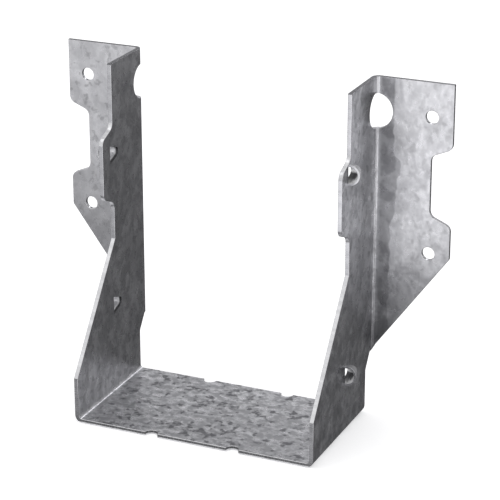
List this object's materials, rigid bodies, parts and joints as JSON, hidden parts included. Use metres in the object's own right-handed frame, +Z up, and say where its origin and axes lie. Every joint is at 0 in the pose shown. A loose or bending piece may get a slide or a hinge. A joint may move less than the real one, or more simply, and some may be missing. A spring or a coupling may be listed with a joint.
{
  "type": "joist hanger",
  "caption": "Face-mount joist hanger folded from galvanised steel sheet: a U-shaped seat for a doubled joist, two nailing flanges and pressed hoods for slanted joist nails.",
  "frame": {"origin": "middle of the seat's underside, halfway between the seat's front edge and the header face of the flanges", "axes": "+X across the joist, +Y towards the header, +Z up"},
  "size_m": [0.1336, 0.0508, 0.1126],
  "materials": {
    "galvanised_steel": "hot-dip galvanised, satin, faint streaks"
  },
  "bodies": {
    "root": {"joist_hanger": "galvanised_steel"}
  },
  "joints": []
}
